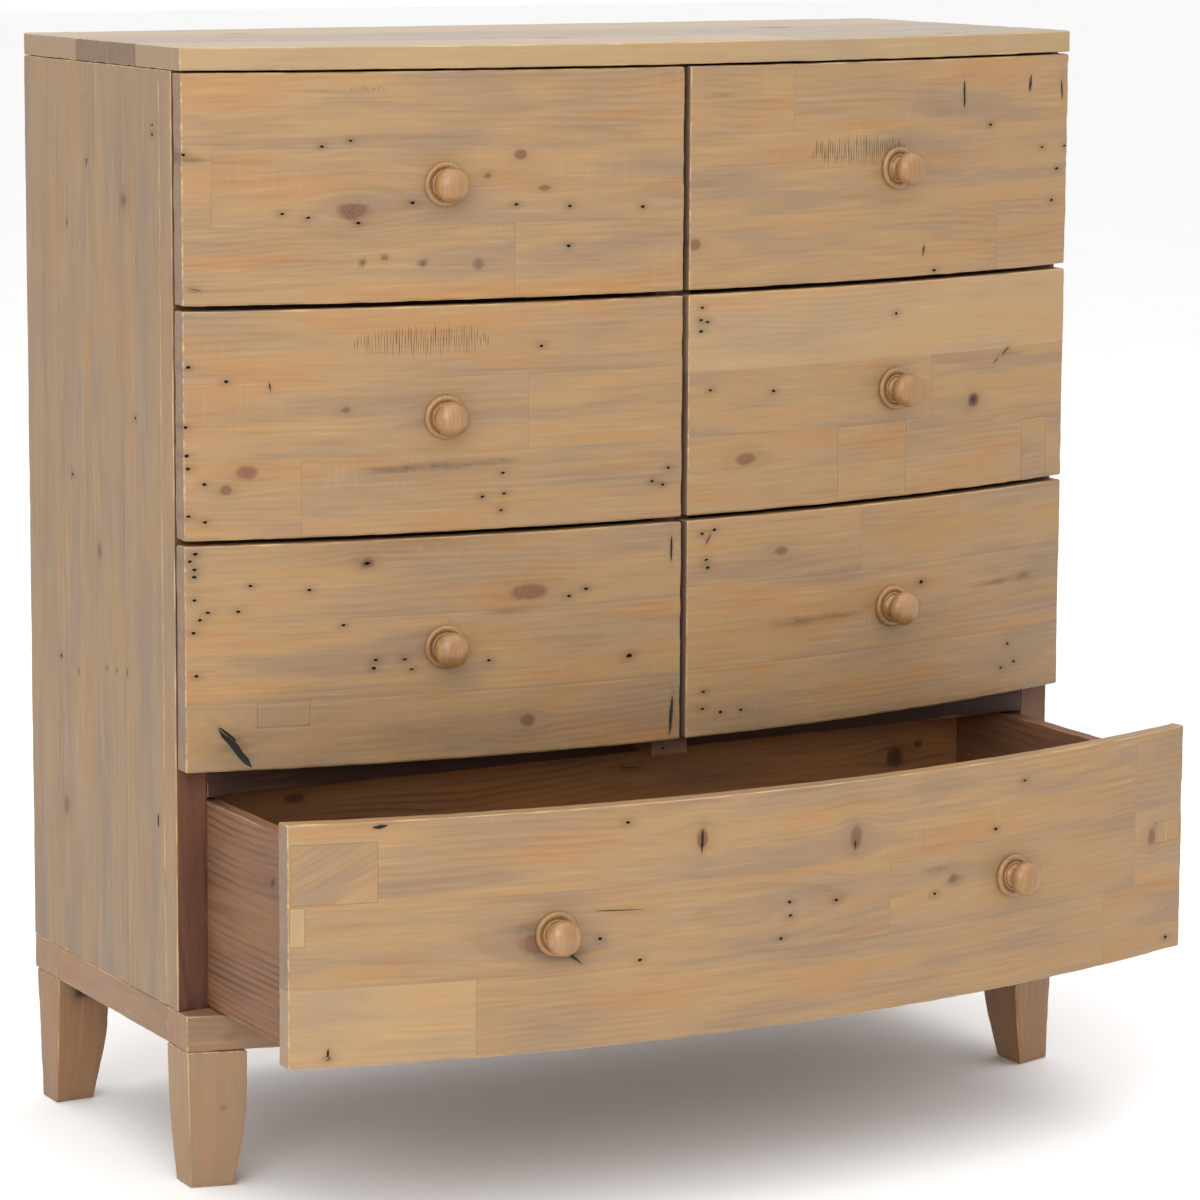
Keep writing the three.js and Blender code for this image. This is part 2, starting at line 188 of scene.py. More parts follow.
class Marks:
    """Marks on one face of a board, each a tuple in millimetres across (u) and up (v).

    nails: u, v and, if uncommon, a radius
    gouges: u, v, length, angle, width, depth
    knots: u, v, half width, half height and, if cut flat, how far above the middle
    stains: u, v, reach across, reach up, strength
    saws, patches of fine scratches: u from, u to, v from, v to
    plugs: the same and, if it is turned, the angle of their grain
    strips: v of a level joint
    joints: u of an upright joint, v from, v to
    discs, filled holes: u, v, radius
    """

    def __init__(self, nails=(), gouges=(), knots=(), stains=(), saws=(), plugs=(), strips=(), joints=(),
                 discs=()):
        self.nails, self.gouges, self.saws = nails, gouges, saws
        self.knots, self.stains, self.discs = knots, stains, discs
        self.plugs, self.strips, self.joints = plugs, strips, joints

    def cuts(self):
        """Where the face needs extra cuts, across and up."""
        across, up = set(), set()
        for u0, u1, v0, v1, *_ in self.plugs:
            across |= {u0, u1}
            up |= {v0, v1}
        for v in self.strips:
            up.add(v)
        for u, v0, v1 in self.joints:
            across.add(u)
            up |= {v0, v1}
        near = (-FINE_CUT, 0, FINE_CUT)
        return [(u + d) * MM for u in across for d in near], [(v + d) * MM for v in up for d in near]

    def lines(self, u, v):
        """How plain the glue lines are: 1 round plugs, less on joints and strips, and 0 away from them."""
        u, v = u / MM, v / MM
        line = np.zeros(len(u))
        for u0, u1, v0, v1, *_ in self.plugs:
            for edge in (u0, u1):
                line[(abs(u - edge) < LINE_REACH) & between(v, v0 - LINE_REACH, v1 + LINE_REACH)] = 1
            for edge in (v0, v1):
                line[(abs(v - edge) < LINE_REACH) & between(u, u0 - LINE_REACH, u1 + LINE_REACH)] = 1
        for edge, v0, v1 in self.joints:
            line[(abs(u - edge) < LINE_REACH) & between(v, v0, v1)] = JOINT_LINE
        for edge in self.strips:
            near = abs(v - edge) < LINE_REACH
            line[near] = np.maximum(line[near], STRIP_LINE)
        return line

    def staves(self, u, v, seed):
        """A number from 0 to 1 for the stave or plug that holds each point."""
        u, v = u / MM, v / MM
        edges = [-1e9] + sorted(self.strips) + [1e9]
        piece = np.searchsorted(np.array(edges), v) * 7.0
        for edge, v0, v1 in self.joints:
            piece += ((u > edge) & between(v, v0, v1)) * 1.37
        for i, (u0, u1, v0, v1, *_) in enumerate(self.plugs):
            piece[between(u, u0, u1) & between(v, v0, v1)] = 40.3 + i * 3.1
        return (np.sin((piece + seed * 3.7) * 12.9898) * 43758.5453) % 1.0

    def turns(self, u, v):
        """The angle of the grain at each point; only plugs may turn it."""
        u, v = u / MM, v / MM
        angle = np.zeros(len(u))
        for u0, u1, v0, v1, *turn in self.plugs:
            angle[between(u, u0, u1) & between(v, v0, v1)] = math.radians(turn[0]) if turn else 0
        return angle

    def fields(self, u, v):
        """Stain, knot and sideways bend of the grain at each point."""
        u, v = u / MM, v / MM
        stain, knot, bend = np.zeros(len(u)), np.full(len(u), NO_KNOT), np.zeros(len(u))
        for u0, v0, *rest in self.nails:
            size = rest[0] if rest else NAIL
            away = np.hypot((u - u0) / 1.7, v - v0)
            stain += NAIL_STAIN * np.exp(-((away / (size * 2.3)) ** 2))
        for u0, v0, ru, rv, amount in self.stains:
            away = ((u - u0) / ru) ** 2 + ((v - v0) / rv) ** 2
            stain += amount * np.exp(-away)
        for u0, v0, length, angle, *_ in self.gouges:
            c, s = math.cos(math.radians(angle)), math.sin(math.radians(angle))
            du, dv = u - u0, v - v0
            away = ((du * c + dv * s) / (length * 0.6)) ** 2 + ((dv * c - du * s) / 3.0) ** 2
            stain += GOUGE_STAIN * np.exp(-away)
        for u0, v0, size in self.discs:
            away = np.hypot(u - u0, v - v0) / size
            stain += 0.4 * np.clip((1 - away) * 4, 0, 1) + 0.5 * np.exp(-((away / 0.3) ** 2))
        for u0, v0, ru, rv, *flat in self.knots:
            du, dv = u - u0, v - v0
            away = np.sqrt((du / ru) ** 2 + (dv / rv) ** 2)
            inside = 1 - away
            if flat:
                inside[dv > flat[0]] = NO_KNOT
            knot = np.maximum(knot, inside)
            stain += KNOT_STAIN * np.exp(-((away / 2.0) ** 2))
            reach = (du / (ru * 3.2)) ** 2 + (dv / (rv * 2.6)) ** 2
            bend -= np.sign(dv) * rv * MM * 0.85 * np.exp(-reach) * np.minimum(1, abs(dv) / rv)
        return np.minimum(stain, MOST_STAIN), knot, bend


# ---- Cutters for holes and gouges -------------------------------------------------------------------
class Cutters:
    """Closed pits in one mesh. `surface` gives the point and outward normal at (u, v) of a face."""

    def __init__(self, surface, seed):
        self.surface = surface
        self.random = random.Random(seed)
        self.points = []
        self.faces = []

    def frame_at(self, u, v):
        point, normal = self.surface(u * MM, v * MM)
        across = self.surface((u + 1) * MM, v * MM)[0] - point
        up = self.surface(u * MM, (v + 1) * MM)[0] - point
        return point, normal, across.normalized(), up.normalized()

    def tube(self, rings):
        """Closes a row of equal rings of points into one body with its faces outwards."""
        start, count = len(self.points), len(rings[0])
        for ring in rings:
            self.points += ring
        faces = []
        for i in range(len(rings) - 1):
            for j in range(count):
                k = (j + 1) % count
                a, b = start + i * count, start + (i + 1) * count
                faces.append((a + j, a + k, b + k, b + j))
        faces.append(tuple(start + j for j in reversed(range(count))))
        last = start + (len(rings) - 1) * count
        faces.append(tuple(last + j for j in range(count)))
        volume = 0.0
        for face in faces:
            first = self.points[face[0]] - rings[0][0]
            for j in range(1, len(face) - 1):
                second = self.points[face[j]] - rings[0][0]
                third = self.points[face[j + 1]] - rings[0][0]
                volume += first.dot(second.cross(third))
        self.faces += faces if volume > 0 else [tuple(reversed(face)) for face in faces]

    def nail(self, u, v, radius=NAIL):
        """An uneven round pit that narrows inwards."""
        point, normal, across, up = self.frame_at(u, v)
        sides = 9
        rough = [self.random.uniform(0.78, 1.2) for _ in range(sides)]
        squash = self.random.uniform(0.62, 0.85)
        depth = radius * self.random.uniform(1.6, 2.4)
        rings = []
        for height, share in ((0.5, 1.12), (-0.25, 0.95), (-0.6 * depth, 0.75), (-depth, 0.3)):
            ring = []
            for i in range(sides):
                angle = -2 * math.pi * i / sides
                reach = radius * MM * share * rough[i]
                sideways = across * (math.cos(angle) * reach * 1.2)
                ring.append(point + sideways + up * (math.sin(angle) * reach * squash) + normal * height * MM)
            rings.append(ring)
        self.tube(rings)

    def gouge(self, u, v, length, angle, width, depth, stations=7):
        """A torn groove, widest in its middle."""
        c, s = math.cos(math.radians(angle)), math.sin(math.radians(angle))
        rings = []
        for i in range(stations):
            t = (i + 0.02) / (stations - 0.96)
            along = (t - 0.5) * length
            sway = self.random.uniform(-0.12, 0.12) * width
            open_ = width * 0.5 * max(0.16, math.sin(math.pi * t) ** 0.5) * self.random.uniform(0.75, 1.2)
            deep = depth * max(0.3, math.sin(math.pi * t) ** 0.6) * self.random.uniform(0.8, 1.15)
            point, normal, across, up = self.frame_at(u + c * along - s * sway, v + s * along + c * sway)
            side = (up * c - across * s) * MM
            out = normal * MM
            rings.append([
                point + side * open_ * 1.3 + out * 0.4,
                point + side * open_ * 0.35 - out * deep,
                point - side * open_ * 0.3 - out * deep * 0.9,
                point - side * open_ * 1.3 + out * 0.4,
            ])
        self.tube(rings)

    def saw(self, u0, u1, v0, v1):
        """Rows of fine upright saw scratches."""
        u = u0
        while u < u1:
            u += self.random.uniform(1.9, 3.4)
            share = (u - u0) / (u1 - u0)
            reach = (v1 - v0) * (0.35 + 0.65 * math.sin(math.pi * min(1, share)) ** 0.5)
            middle = (v0 + v1) / 2 + self.random.uniform(-0.1, 0.1) * (v1 - v0)
            length = reach * self.random.uniform(0.55, 1.0)
            width = self.random.uniform(0.5, 0.95)
            self.gouge(u, middle, length, 90 + self.random.uniform(-3, 3), width, 0.35, 4)

    def add(self, marks):
        """Adds the pits of a face's marks."""
        for nail in marks.nails:
            self.nail(*nail)
        for gouge in marks.gouges:
            self.gouge(*gouge)
        for saw in marks.saws:
            self.saw(*saw)
        return self

    def cut(self, piece):
        """Cuts every pit from the piece. Their walls are stained dark."""
        if not self.points:
            return
        mesh = new_mesh("pits", self.points, self.faces, smooth=False)
        count = len(mesh.loops)
        paint(mesh, np.zeros((count, 3)), np.tile((PIT_STAIN, NO_KNOT, 0, 0.5), (count, 1)))
        mesh.materials.append(piece.data.materials[0])
        tool = new_object("pits", mesh)
        change = piece.modifiers.new("pits", "BOOLEAN")
        change.operation = "DIFFERENCE"
        change.solver = "MANIFOLD"
        change.object = tool
        graph = bpy.context.evaluated_depsgraph_get()
        carved = bpy.data.meshes.new_from_object(piece.evaluated_get(graph))
        piece.modifiers.clear()
        plain = piece.data
        piece.data = carved
        carved.set_sharp_from_angle(angle=math.radians(38))
        bpy.data.meshes.remove(plain)
        bpy.data.objects.remove(tool)
        bpy.data.meshes.remove(mesh)


def flat_face(corner, across, up, outward):
    """The surface of a flat face for Cutters, from its low corner."""
    corner, across, up, outward = (Vector(part) for part in (corner, across, up, outward))
    return lambda u, v: (corner + across * u + up * v, outward)


# ---- Boards -----------------------------------------------------------------------------------------
AXES = {"x": (0, 2, 1), "y": (1, 2, 0), "z": (2, 1, 0), "xy": (0, 1, 2), "zx": (2, 0, 1)}
FACES = {"front": (0, 2), "side": (1, 2), "above": (0, 1)}  # the axes across and up a marked face
ROUNDEST = 0.98  # the most of half a board's thickness that a rounded edge takes
EDGE_REACH = 3 * MM  # how far from an edge its wear shows
GLUE_DENT = 0.12 * MM


class Board:
    """A wooden board with eased, worn edges and a grain of its own.

    `grain` names the axis along the grain and, where it isn't plain, the one across the widest face. The rest
    is in millimetres. `radii` round the long edges: front and back of the top, front and back of the bottom.
    `ends` rounds both ends in X. `pitch` is the distance between cuts, `warp` how uneven the faces are and
    `wear` how far the edges are worn off.
    """

    def __init__(self, name, low, high, grain, seed, pitch, ends, radii, marks=None, face="front", warp=0.15,
                 wear=0.5, bend=None):
        self.name = name
        self.low, self.high = np.array(low), np.array(high)
        self.grain, self.seed, self.pitch = grain, seed, pitch * MM
        self.ends, self.radii = ends * MM, np.array(radii) * MM
        self.marks, self.face = marks or Marks(), face
        self.warp, self.wear, self.bend = warp * MM, wear * MM, bend

    def on_face(self, points):
        """Where points lie across and up the marked face."""
        return [points[:, axis] - self.low[axis] for axis in FACES[self.face]]

    def lattice(self):
        marked = dict(zip(FACES[self.face], self.marks.cuts()))
        cuts = []
        for axis, (low, high) in enumerate(zip(self.low, self.high)):
            radii = [min(radius, (high - low) / 2 * ROUNDEST) for radius in sorted({self.ends, *self.radii})]
            extra = [low + place for place in marked.get(axis, ())]
            cuts.append(divisions(low, high, self.pitch, radii, extra))
        return box_lattice(*cuts)

    def rounding(self, points):
        """The edge radius at each point, blended from the long edges to the ends in X."""
        middle = (self.low + self.high) / 2
        behind = points[:, 1] > middle[1]
        above = points[:, 2] > middle[2]
        long_edges = np.where(
            above,
            np.where(behind, self.radii[1], self.radii[0]),
            np.where(behind, self.radii[3], self.radii[2]),
        )
        from_end = np.minimum(points[:, 0] - self.low[0], self.high[0] - points[:, 0])
        share = np.clip(from_end / (3 * self.ends + 1e-9), 0, 1)
        radius = self.ends + (long_edges - self.ends) * share
        return np.minimum(radius, np.min((self.high - self.low) / 2) * ROUNDEST)

    def build(self, look, body):
        """The board as a piece of the chest."""
        points, quads = self.lattice()
        radius = self.rounding(points)[:, None]
        core = np.clip(points, self.low + radius, self.high - radius)
        ray = points - core
        ray /= np.linalg.norm(ray, axis=1)[:, None]
        gaps = np.sort(np.minimum(points - self.low, self.high - points), axis=1)[:, 1]
        edge = np.exp(-gaps / EDGE_REACH)
        line = self.marks.lines(*self.on_face(points))
        dent = self.warp * wander(points, 0.045, self.seed)
        rub = wander(points, 0.018, self.seed + 5) + 0.5 * wander(points, 0.006, self.seed + 6)
        rub = np.clip(0.35 + rub, 0, 1)
        dent -= self.wear * edge * rub
        dent -= GLUE_DENT * (line > 0)
        shaped = core + ray * (radius + dent[:, None])
        if self.bend:
            shaped = self.bend(shaped)
        self.mesh = new_mesh(self.name, shaped, quads)
        self.store(points, quads, edge, line)
        return link(self.name, self.mesh, look, body)

    def store(self, points, quads, edge, line):
        """Stores every corner's place in the board and its marks. Each stave has a grain of its own."""
        loops = quads.reshape(-1)
        middles = self.on_face(points[quads].mean(axis=1))
        stave = np.repeat(self.marks.staves(*middles, self.seed), 4)
        turn = np.repeat(self.marks.turns(*middles), 4)
        stain, knot, bend = self.marks.fields(*self.on_face(points))
        stain = np.minimum(MOST_STAIN, stain + LINE_STAIN * line)
        order = AXES[self.grain]
        along, side, through = (points[:, i] - (self.low[i] + self.high[i]) / 2 for i in order)
        side = side + (bend if order[1] == FACES[self.face][1] else 0)
        shift = np.stack((stave * 9 + self.seed * 1.37, (stave - 0.5) * 0.09, np.zeros(len(stave))), -1)
        c, s = np.cos(turn), np.sin(turn)
        along, side, through = along[loops], side[loops], through[loops]
        board = np.stack((along * c + side * s, side * c - along * s, through), -1) + shift
        marks = np.stack((stain[loops], knot[loops], edge[loops], stave), -1)
        paint(self.mesh, board, marks)


# ---- Materials --------------------------------------------------------------------------------------
def tone(code):
    """A linear colour from a 0xRRGGBB code."""
    parts = [((code >> shift) & 255) / 255 for shift in (16, 8, 0)]
    return tuple(p / 12.92 if p <= 0.04045 else ((p + 0.055) / 1.055) ** 2.4 for p in parts) + (1.0,)


class Shader:
    """A node-based material under construction."""

    def __init__(self, name):
        self.material = bpy.data.materials.new(name)
        self.material.use_nodes = True
        self.nodes = self.material.node_tree.nodes
        self.links = self.material.node_tree.links
        self.surface = self.nodes["Principled BSDF"]

    def node(self, kind, inputs=None, **settings):
        made = self.nodes.new(kind)
        for key, value in settings.items():
            setattr(made, key, value)
        for key, value in (inputs or {}).items():
            self.feed(made.inputs[key], value)
        return made

    def feed(self, socket, value):
        if isinstance(value, bpy.types.NodeSocket):
            self.links.new(value, socket)
        else:
            socket.default_value = value

    def math(self, operation, a, b=0.0, c=None, clamp=False):
        inputs = {0: a, 1: b}
        if c is not None:
            inputs[2] = c
        return self.node("ShaderNodeMath", inputs, operation=operation, use_clamp=clamp).outputs[0]

    def plus(self, a, b, clamp=False):
        return self.math("ADD", a, b, clamp=clamp)

    def times(self, a, b, clamp=False):
        return self.math("MULTIPLY", a, b, clamp=clamp)

    def scaled(self, vector, scale):
        return self.node("ShaderNodeMapping", {"Vector": vector, "Scale": scale}).outputs[0]

    def noise(self, vector, scale, detail=2.0, roughness=0.5):
        """Noise with `scale` bumps in a metre along each axis."""
        inputs = {"Vector": self.scaled(vector, scale), "Scale": 1.0}
        inputs.update({"Detail": detail, "Roughness": roughness})
        return self.node("ShaderNodeTexNoise", inputs).outputs["Fac"]

    def step(self, value, low, high, start=0.0, stop=1.0):
        """`value` taken smoothly from low..high to start..stop."""
        inputs = {"Value": value, "From Min": low, "From Max": high, "To Min": start, "To Max": stop}
        return self.node("ShaderNodeMapRange", inputs, interpolation_type="SMOOTHSTEP").outputs[0]

    def mix(self, share, a, b):
        made = self.nodes.new("ShaderNodeMix")
        made.data_type = "RGBA"
        self.feed(made.inputs[0], share)
        self.feed(made.inputs[6], a)
        self.feed(made.inputs[7], b)
        return made.outputs[2]

    def split(self, vector):
        return self.node("ShaderNodeSeparateXYZ", {0: vector}).outputs

    def join(self, x, y, z):
        return self.node("ShaderNodeCombineXYZ", {0: x, 1: y, 2: z}).outputs[0]

    def bump(self, height, strength, distance):
        made = self.node("ShaderNodeBump", {"Height": height, "Strength": strength, "Distance": distance})
        self.links.new(made.outputs[0], self.surface.inputs["Normal"])


HONEY = dict(body=0x987852, grey=0x866F56, orange=0x9E703F, wash=0x7A6756, gold=0xA47D46, ring=0x7B5330,
             pale=0xCDB082, end=0x746254, knot=0x7A4A2E, dirt=0x25211C)
# The top's pale grey for faces that look up is a painted sheen.
TOP = dict(HONEY, body=0x8E744F, grey=0x846E56, orange=0x926C44, gold=0x99774D, end=0x655144,
           painted_sheen=0x9C938A)
SIDE = dict(HONEY, body=0x8A6E4E, grey=0x7C6753, orange=0x8F6D45, wash=0x746356, gold=0x93744D, ring=0x705339)
BASE = dict(HONEY, body=0x8A6749, grey=0x7B634B, orange=0x90643E, wash=0x75604F, gold=0x946E49, end=0x8B6D50)
DARK = dict(body=0x603A27, grey=0x533425, orange=0x6E422A, wash=0x4A3125, gold=0x734C32, ring=0x3C2316,
            pale=0x9A7054, end=0x4F3526, knot=0x3B2014, dirt=0x1D130E)
# The rail colours: the dark wood made darker still, as painted shade for the recess behind the bowed drawer
# fronts.
SHADED_RAIL = dict(DARK, body=0x3A1E10, grey=0x321B0F, orange=0x402215, wash=0x2C1910, gold=0x422718, ring=0x26130A)
BOX = dict(body=0x7A5539, grey=0x6B4D39, orange=0x805535, wash=0x644737, gold=0x855F42, ring=0x502F1D,
           pale=0xAA8A6B, end=0x634739, knot=0x553120, dirt=0x2A1B13)
# The inner colours: the box wood made lighter and warmer, as painted light for boards that sit in shade.
LIT_INNER = dict(BOX, body=0xA57546, grey=0x916643, orange=0xAF733B, wash=0x856043, gold=0xB17C47, ring=0x603C1D,
             knot=0x5E321A)

PITH_DEPTH = 52 * MM  # from the face to the middle of the tree
WRAP_LOW, WRAP_HIGH = -55 * MM, 45 * MM  # one board of a plain panel, across its grain
BUMP_STRENGTH = 0.3
BUMP_HEIGHT = 0.6 * MM


def wood(name, colours, coordinates, ring_gap=5.5, ring_share=0.3, patchy=0.62, roughness=0.5, painted_sheen=0.0):
    """Old pine with its grain along the axis that `coordinates` names first.

    With one axis it reads the place in the board and the marks that boards store. With three, such as "xzy",
    it reads the object's own coordinates in that order.
    """
    s = Shader(name)
    shades = {key: tone(code) for key, code in colours.items()}
    spots = s.node("ShaderNodeTexCoord")
    normal = s.split(spots.outputs["Normal"])
    order = ["xyz".index(c) for c in coordinates]
    stored = len(order) == 1
    if stored:
        board = s.node("ShaderNodeAttribute", attribute_name="board").outputs["Vector"]
    else:
        axes = s.split(spots.outputs["Object"])
        wrapped = s.math("WRAP", axes[order[1]], WRAP_HIGH, WRAP_LOW)
        board = s.join(axes[order[0]], wrapped, axes[order[2]])
    _, side, through = s.split(board)

    def tint(colour, value, low, high, share, shade):
        """`colour`, up to `share` of the way to a shade as `value` goes from low to high."""
        return s.mix(s.step(value, low, high, 0.0, share), colour, shades[shade])

    # Broad changes of colour along the grain.
    broad = s.noise(board, (3.8, 19, 12), 3.0)
    colour = tint(shades["body"], broad, 0.42, 0.66, 0.7, "grey")
    patch = s.noise(board, (5.0, 26, 14), 3.0, 0.52)
    colour = tint(colour, patch, 0.5, 0.68, patchy, "orange")
    colour = tint(colour, patch, 0.5, 0.34, 0.5, "wash")
    streak = s.noise(board, (7.5, 95, 60), 3.0, 0.55)
    colour = tint(colour, streak, 0.5, 0.72, 0.5 * patchy, "gold")
    colour = tint(colour, streak, 0.46, 0.28, 0.22, "ring")

    # Growth rings around a pith that lies behind the face.
    pith = s.plus(through, PITH_DEPTH)
    reach = s.math("SQRT", s.plus(s.times(side, side), s.times(pith, pith)))
    reach = s.plus(reach, s.times(s.noise(board, (1.7, 5, 5)), 0.055))
    reach = s.plus(reach, s.times(streak, 0.0035))
    phase = s.math("FRACT", s.times(reach, 1000 / ring_gap))
    late = s.times(s.step(phase, 0.35, 0.9), s.step(phase, 0.9, 1.0, 1.0, 0.0))
    rings = s.times(late, s.step(broad, 0.45, 0.66, 0.15, 1.0))
    colour = s.mix(s.times(rings, ring_share), colour, shades["ring"])

    # Fibres along the grain, and faint scratches across it.
    fibre = s.noise(board, (12, 300, 300))
    colour = tint(colour, fibre, 0.52, 0.76, 0.3, "ring")
    colour = tint(colour, fibre, 0.46, 0.2, 0.14, "pale")
    scratch = s.noise(board, (380, 20, 20), 1.0)
    scratched = s.step(s.noise(board, (5, 12, 9), 0.0), 0.5, 0.66)
    scratch_share = s.times(s.step(scratch, 0.55, 0.75), s.times(scratched, 0.05))
    colour = s.mix(scratch_share, colour, shades["pale"])

    # Faces that look up are taken towards a pale grey: a painted sheen.
    if painted_sheen:
        colour = tint(colour, normal[2], 0.5, 0.9, painted_sheen, "painted_sheen")

    # End grain, where the surface faces along the grain.
    end = s.step(s.math("ABSOLUTE", normal[order[0]]), 0.72, 0.93)
    end_colour = tint(shades["end"], phase, 0.3, 0.95, 0.45, "ring")
    speck = s.noise(board, (60, 500, 500), 1.0, 0.7)
    end_colour = tint(end_colour, speck, 0.55, 0.8, 0.4, "dirt")
    colour = s.mix(s.times(end, 0.85), colour, end_colour)

    rough = s.step(streak, 0.3, 0.7, roughness - 0.07, roughness + 0.1)
    if stored:
        field = s.node("ShaderNodeAttribute", attribute_name="marks")
        stain, knot, edge = s.split(field.outputs["Vector"])
        stave = field.outputs["Alpha"]
        # Each stave is a little lighter or darker than the next.
        colour = tint(colour, stave, 0.0, 1.0, 0.18, "grey")
        colour = tint(colour, stave, 0.75, 0.95, 0.2, "pale")
        # Knots: a reddish heart with rings and a dark rim.
        blot = s.noise(board, (70, 160, 160), 2.0, 0.6)
        ragged = s.plus(knot, s.times(s.math("SUBTRACT", blot, 0.5), 0.5))
        heart = s.step(ragged, -0.1, 0.35)
        turns = s.math("SINE", s.times(ragged, 26))
        knot_colour = tint(shades["knot"], turns, -0.6, 1.0, 0.55, "dirt")
        colour = tint(colour, ragged, -0.2, 0.3, 0.4, "knot")
        colour = s.mix(s.times(heart, 0.6), colour, knot_colour)
        # Worn edges show pale wood.
        rubbed = s.noise(board, (22, 120, 120), 2.0, 0.65)
        uneven = s.times(s.math("SUBTRACT", rubbed, 0.5), 1.3)
        worn = s.step(s.plus(edge, uneven), 0.66, 1.05)
        colour = s.mix(s.times(worn, 0.5), colour, shades["pale"])
        # Dark stains around nails, on glue lines and in the pits.
        dirty = s.times(stain, s.step(blot, 0.25, 0.6, 0.55, 1.15), clamp=True)
        colour = s.mix(dirty, colour, shades["dirt"])
        rough = s.plus(rough, s.times(dirty, 0.25), clamp=True)
    s.links.new(colour, s.surface.inputs["Base Color"])
    s.links.new(rough, s.surface.inputs["Roughness"])
    s.surface.inputs["Specular IOR Level"].default_value = 0.42
    s.bump(streak, BUMP_STRENGTH, BUMP_HEIGHT)
    return s.material


RECIPES = {
    "front": dict(colours=HONEY),
    # The top paints a sheen on faces that look up.
    "top": dict(colours=TOP, patchy=0.5, painted_sheen=0.6),
    "side": dict(colours=SIDE, ring_share=0.2, patchy=0.45),
    "base": dict(colours=BASE, ring_share=0.35),
    # The rails' darker colours are painted shade.
    "rail": dict(colours=SHADED_RAIL, ring_gap=3.2, ring_share=0.6, roughness=0.6),
    "dark": dict(colours=DARK, ring_gap=4.2, ring_share=0.95, roughness=0.6),
    "box": dict(colours=BOX, ring_gap=6.5, ring_share=0.9, patchy=0.5, roughness=0.66),
    # The inner wood's lighter colours are painted light.
    "inner": dict(colours=LIT_INNER, ring_share=0.6, roughness=0.68),
}
MATERIALS = {}


def material(kind, coordinates):
    """The wood of that kind with the grain that a piece needs, made once."""
    key = f"{kind}_{coordinates}"
    if key not in MATERIALS:
        MATERIALS[key] = wood(key, coordinates=coordinates, **RECIPES[kind])
    return MATERIALS[key]


def knob_wood():
    """Pale turned pine with a satin lacquer; the grain runs up and down."""
    s = Shader("knob_pine")
    place = s.node("ShaderNodeTexCoord").outputs["Object"]
    x, y, z = s.split(place)
    board = s.join(z, x, y)
    colour = s.mix(s.step(s.noise(board, (14, 60, 60)), 0.35, 0.65), tone(0x98734A), tone(0x8C653B))
    sway = s.noise(board, (9, 30, 30))
    reach = s.plus(x, s.times(sway, 0.02))
    phase = s.math("FRACT", s.times(reach, 1000 / 4.5))
    late = s.times(s.step(phase, 0.3, 0.85), s.step(phase, 0.85, 1.0, 1.0, 0.0))
    colour = s.mix(s.times(late, 0.3), colour, tone(0x7A512B))
    fibre = s.noise(board, (50, 900, 900), 2.0, 0.6)
    colour = s.mix(s.step(fibre, 0.5, 0.8, 0.0, 0.25), colour, tone(0x784D26))
    s.links.new(colour, s.surface.inputs["Base Color"])
    s.surface.inputs["Roughness"].default_value = 0.36
    s.surface.inputs["Coat Weight"].default_value = 0.25
    s.surface.inputs["Coat Roughness"].default_value = 0.25
    s.bump(s.times(fibre, 0.6), 0.15, 0.0003)
    return s.material


